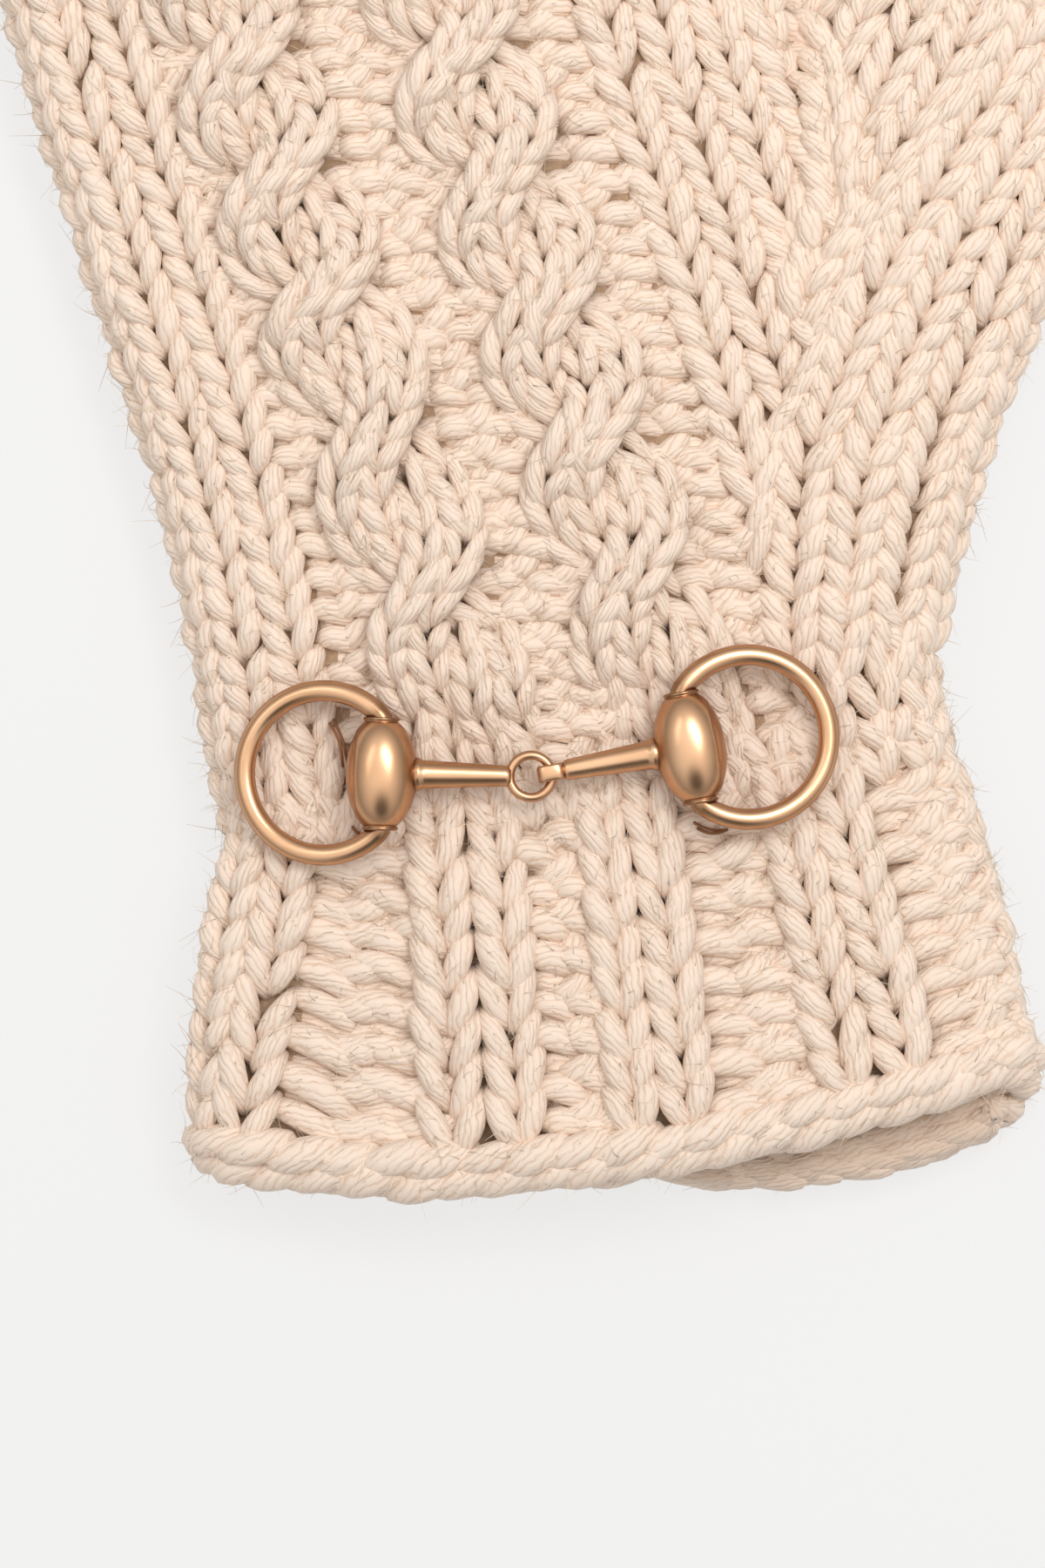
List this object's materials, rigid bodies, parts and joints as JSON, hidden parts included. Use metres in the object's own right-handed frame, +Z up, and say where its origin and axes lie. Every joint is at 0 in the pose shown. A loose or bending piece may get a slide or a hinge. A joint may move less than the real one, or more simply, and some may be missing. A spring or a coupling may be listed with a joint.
{
  "type": "cable-knit mitten with snaffle trim",
  "caption": "Left mitten knitted in thick cream yarn, lying flat, with rope cables, a ribbed cuff and a brass snaffle across the wrist whose rings swing.",
  "frame": {"origin": "on the surface that the mitten lies on, under the palm, 7 mm to the thumb side of the middle of the hand", "axes": "+Z up out of the back of the hand, +Y towards the fingertips, +X towards the thumb side"},
  "size_m": [0.1534, 0.226, 0.0229],
  "materials": {
    "wool_knit": "thick plied wool yarn, knitted, softly hairy",
    "brushed_brass": "brushed antique brass"
  },
  "bodies": {
    "mitten": {"cuff": "wool_knit", "hand": "wool_knit", "thumb": "wool_knit", "left_arm": "brushed_brass", "right_arm": "brushed_brass"},
    "left_ring": {"left_ring": "brushed_brass"},
    "right_ring": {"right_ring": "brushed_brass"}
  },
  "joints": [
    {"name": "left_ring_swing", "type": "hinge", "parent": "mitten", "child": "left_ring", "pos_m": [-0.0208, -0.0647, 0.0181], "axis": [0.0169, 0.9999, 0], "range_deg": [0, 150]},
    {"name": "right_ring_swing", "type": "hinge", "parent": "mitten", "child": "right_ring", "pos_m": [0.0157, -0.0616, 0.0188], "axis": [0.178, -0.984, 0], "range_deg": [0, 150]}
  ]
}
